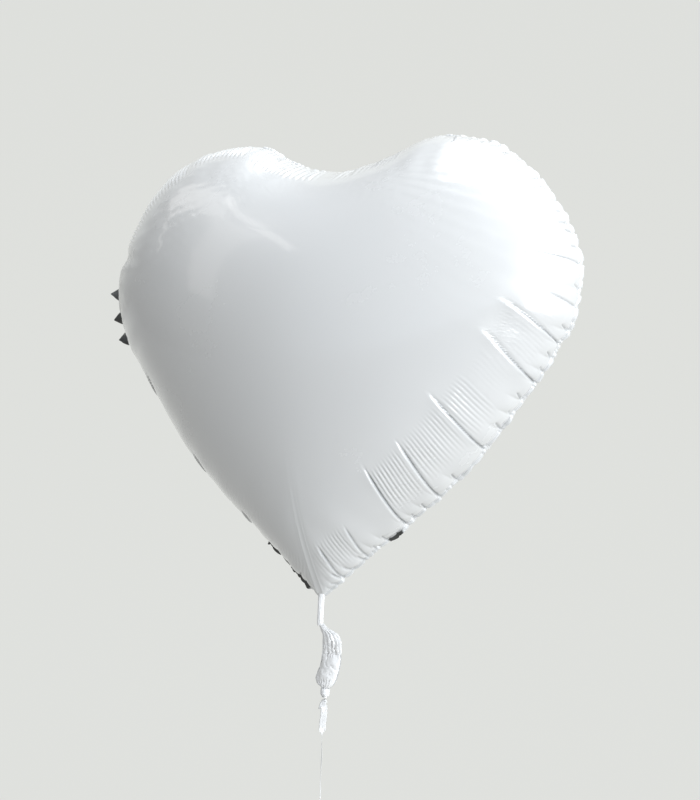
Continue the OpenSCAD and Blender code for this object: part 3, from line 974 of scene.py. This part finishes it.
def gathered_tube(name, stations, pleat_count, seed, around=180, rows=70, pleat_share=0.3, crush=0):
    """A closed tube of gathered film through stations of x, z, half width, half thickness."""
    walk = np.linspace(0, len(stations) - 1, rows)
    at = np.arange(len(stations))
    x, z, w, t = (np.interp(walk, at, column) for column in np.array(stations).T)
    x, z, w, t = (soften(v) for v in (x, z, w, t))
    dice = np.random.default_rng(seed)
    a = 2 * math.pi * np.arange(around) / around
    wander = sum(dice.uniform(-0.5, 0.5) * np.sin(k * a + dice.uniform(0, 6.3)) for k in (1, 2, 3))
    fold = np.abs(np.sin(pleat_count / 2 * a + wander)) ** 0.7
    points = []
    for k in range(rows):
        depth = 1 - pleat_share * (1 - fold) * (0.75 + 0.25 * math.sin(k * 0.31 + seed))
        points.append(np.c_[x[k] + w[k] * np.cos(a) * depth, t[k] * np.sin(a) * depth,
            np.full(around, z[k])])
    ends = [points[0].mean(0), points[-1].mean(0)]
    places = crumple(np.vstack([ends[0], *points, ends[1]]), crush, 120, seed)
    i = np.arange(around)
    j = (i + 1) % around
    faces = np.c_[np.zeros(around, int), 1 + i, 1 + j].tolist()
    for k in range(rows - 1):
        top, low = 1 + k * around, 1 + (k + 1) * around
        faces += np.c_[top + i, low + i, low + j, top + j].tolist()
    last = 1 + (rows - 1) * around
    faces += np.c_[last + i, np.full(around, last + around), last + j].tolist()
    return mesh_object(name, places, faces, TAIL_FILM)


def soften(values, passes=6):
    """Rounds a row of values, with its ends kept."""
    out = np.array(values, float)
    for _ in range(passes):
        out[1:-1] = (out[:-2] + 2 * out[1:-1] + out[2:]) / 4
    return out


def tail_half(name, side, seed=4, rows=110, columns=73):
    """One film of the tail: flat at its crease, puffed out, gathered into its foot, sealed at the sides."""
    top = FOLD_Z
    drop = top - tie_high.z
    # Height down the tail, its middle, its half width and half thickness
    stations = [(0, FOLD_X, 8.0, 1.2), (0.12, FOLD_X, 8.2, 2.0), (0.3, FOLD_X - 0.6 * MM, 8.4, 3.0),
        (0.5, FOLD_X - 2 * MM, 8.7, 3.5), (0.72, FOLD_X - 3.6 * MM, 9.0, 3.9), (0.86, FOOT_X, 7.6, 3.8),
        (0.95, FOOT_X, 4.6, 3.0), (1.0, FOOT_X, 2.4, 2.3), (TAIL_ENDS, FOOT_X, 2.3, 2.2)]
    down = np.array([s[0] for s in stations])
    at = np.linspace(0, down[-1], rows)
    x, w, t = (soften(np.interp(at, down, [s[k] for s in stations]), 12) for k in (1, 2, 3))
    u = np.linspace(-1, 1, columns)
    flap = 0.9
    inside = np.clip(u / flap, -1, 1)
    points = []
    for k in range(rows):
        gather = smooth((at[k] - 0.62) / 0.3)
        crush = smooth((0.2 - at[k]) / 0.2)
        wave = np.abs(np.sin(inside * 11 + 1.7 * side * gather)) ** 0.7
        puff = np.sqrt(np.clip(1 - inside ** 2, 0, 1)) * (1 - 0.22 * wave * gather - 0.25 * wave * crush)
        points.append(np.c_[x[k] + w[k] * MM * u, side * t[k] * MM * puff + 0 * u,
            np.full(columns, top - at[k] * drop)])
    places = crumple(np.vstack(points), 0.55 * MM, 105, seed)
    faces = []
    i = np.arange(columns - 1)
    for k in range(rows - 1):
        a, b = k * columns, (k + 1) * columns
        faces += np.c_[a + i, b + i, b + i + 1, a + i + 1].tolist()
    if side > 0:
        faces = [f[::-1] for f in faces]
    half = mesh_object(name, places, faces, TAIL_FILM)
    attribute(half.data, "sealed", "FLOAT", np.tile(smooth((np.abs(u) - flap) * 40), rows))
    return half


neck = gathered_tube("neck_gathered_film", [(0, TIP_Z + 1.5 * MM, 2.7 * MM, 1.6 * MM),
    (0, TIP_Z - 5 * MM, 2.4 * MM, 2.2 * MM), (0, 0, 2.3 * MM, 2.3 * MM), (0, SWAY_Z, 2.4 * MM, 2.4 * MM),
    (0.2 * MM, neck_low.z - 1.0 * MM, 2.2 * MM, 2.0 * MM)], 14, 3)
fan = gathered_tube("tail_pleat_fan", [(0.1 * MM, neck_low.z + 1.2 * MM, 2.1 * MM, 1.9 * MM),
    (0.3 * FOLD_X, fan_high.z - 2 * MM, 3.4 * MM, 2.4 * MM),
    (0.8 * FOLD_X, fan_high.z - 6 * MM, 6.6 * MM, 3.0 * MM),
    (FOLD_X, fan_high.z - 12 * MM, 8.0 * MM, 2.8 * MM), (FOLD_X, FOLD_Z + 3 * MM, 8.1 * MM, 1.9 * MM),
    (FOLD_X, FOLD_Z - 0.2 * MM, 8.0 * MM, 1.2 * MM)], 12, 6, pleat_share=0.42, crush=0.7 * MM)
tail_front = tail_half("tail_film_front", -1)
tail_back = tail_half("tail_film_back", 1)

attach(neck, "envelope")
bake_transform(fan)
for half in (tail_front, tail_back):
    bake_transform(half)
for piece, node in ((neck, "neck"), (fan, "tail_pleats"), (tail_front, "tail_front_film"),
        (tail_back, "tail_back_film")):
    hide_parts(node)

for name in ("valve_front_film", "valve_back_film", "valve_mouth_front", "valve_mouth_back"):
    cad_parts[name].data.materials.clear()
    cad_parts[name].data.materials.append(CLEAR)

# ---- Stage -------------------------------------------------------------------------------------


def backdrop():
    """A pale floor that curves up into a wall, lit evenly behind the balloon and less before it."""
    floor_z, wall_y, bend, half = -0.9, 5.0, 1.6, 9.0
    profile = [(-9.0, floor_z), (wall_y - bend, floor_z)]
    for k in range(1, 25):
        a = math.pi / 2 * k / 24
        profile.append((wall_y - bend + bend * math.sin(a), floor_z + bend * (1 - math.cos(a))))
    profile.append((wall_y, 8.0))
    points = [(x, y, z) for y, z in profile for x in (-half, half)]
    faces = [(2 * k, 2 * k + 1, 2 * k + 3, 2 * k + 2) for k in range(len(profile) - 1)]
    material, g, inputs = new_material("backdrop_paper")
    xyz = g.node("ShaderNodeSeparateXYZ", None, {"Vector": object_place(g)})
    y = Value(g, xyz.socket.node.outputs[1])
    # Brighter farther behind the balloon and to its right
    far = y * (math.cos(VIEW_TURN) + 0.7 * math.sin(VIEW_TURN))
    right = xyz * (0.7 * math.cos(VIEW_TURN) - math.sin(VIEW_TURN))
    share = g.node("ShaderNodeMapRange", {"interpolation_type": "SMOOTHSTEP"},
        {"Value": far + right, "From Min": -1.5, "From Max": 2.6})
    feed(g, inputs, Base_Color=(0.1, 0.1, 0.1, 1), Roughness=1.0, Specular_IOR_Level=0.0,
        Emission_Color=g.mix(share, (0.33, 0.325, 0.31, 1), (0.735, 0.745, 0.715, 1)), Emission_Strength=0.9)
    cove = mesh_object("backdrop", points, faces, material)
    cove.data.transform(Matrix.Rotation(VIEW_TURN, 4, "Z"))


def area_light(name, place, target, size, power, colour=(1, 1, 1)):
    data = bpy.data.lights.new(name, "AREA")
    data.shape = "RECTANGLE"
    data.size, data.size_y = size
    data.energy = power
    data.color = colour
    light = collect(bpy.data.objects.new(name, data))
    aim = Vector(target) - Vector(place)
    light.matrix_world = Matrix.Translation(place) @ aim.to_track_quat("-Z", "Y").to_matrix().to_4x4()
    light.visible_camera = False


def set_world():
    """Room light, brighter and cooler from the right and above, dimmer and warmer from the left."""
    world = bpy.data.worlds.new("room")
    world.use_nodes = True
    g = Graph(world.node_tree)
    sky = world.node_tree.nodes["Background"]
    seen = g.node("ShaderNodeTexCoord", output="Generated")
    toward = g.vector("DOT_PRODUCT", seen, (0.80, -0.36, 0.48))
    share = g.node("ShaderNodeMapRange", {"interpolation_type": "SMOOTHSTEP"},
        {"Value": Value(g, toward.socket.node.outputs["Value"]), "From Min": -0.7, "From Max": 1.0})
    tone = g.mix(share, (0.25, 0.24, 0.225, 1), (0.80, 0.85, 0.90, 1))
    g.tree.links.new(tone.socket, sky.inputs["Color"])
    bpy.context.scene.world = world


bpy.context.scene.view_settings.view_transform = "Standard"
backdrop()
set_world()
centre = (0, 0, 0.2)
area_light("overhead_softbox", (0.3, 0.05, 2.0), centre, (1.8, 1.2), 25, (0.96, 0.98, 1.0))
area_light("right_softbox", (1.9, -0.68, 0.2), centre, (1.2, 1.6), 36, (0.95, 0.975, 1.0))

# A window to the upper left, seen as bright bars in the film: turn from the front and height of
# each bar's two ends in degrees, its width and its power
WINDOW_BARS = [((-48, 42), (-54, 10), 0.34, 1.1), ((-88, 36), (-52, 47), 0.55, 2.2),
    ((-46, 44), (-33, 36), 0.09, 0.3), ((-62, 56), (-46, 45), 0.09, 0.3), ((-74, 18), (-80, 37), 0.07, 0.25)]
WINDOW_FROM = Vector((-0.08, -0.06, 0.27))
WINDOW_AWAY = 2.5


def window_place(turn, rise):
    """A place on the window, from its turn from the front and its height in degrees."""
    turn, rise = math.radians(turn), math.radians(rise)
    toward = Vector((math.sin(turn) * math.cos(rise), -math.cos(turn) * math.cos(rise), math.sin(rise)))
    return WINDOW_FROM + WINDOW_AWAY * toward


def window_bar(index, ends, width, power):
    """A long thin light between two directions as seen from the film's upper left."""
    start, end = (window_place(turn, rise) for turn, rise in ends)
    data = bpy.data.lights.new(f"window_bar_{index}", "AREA")
    data.shape = "RECTANGLE"
    data.size, data.size_y = (end - start).length, width
    data.energy = power
    data.color = (1.0, 0.975, 0.95)
    light = collect(bpy.data.objects.new(data.name, data))
    middle = (start + end) / 2
    long_way = (end - start).normalized()
    back = (middle - WINDOW_FROM).normalized()
    turned = Matrix((long_way, back.cross(long_way), back)).transposed().to_4x4()
    light.matrix_world = Matrix.Translation(middle) @ turned
    light.visible_camera = False


for index, (start, end, width, power) in enumerate(WINDOW_BARS):
    window_bar(index, (start, end), width, power)
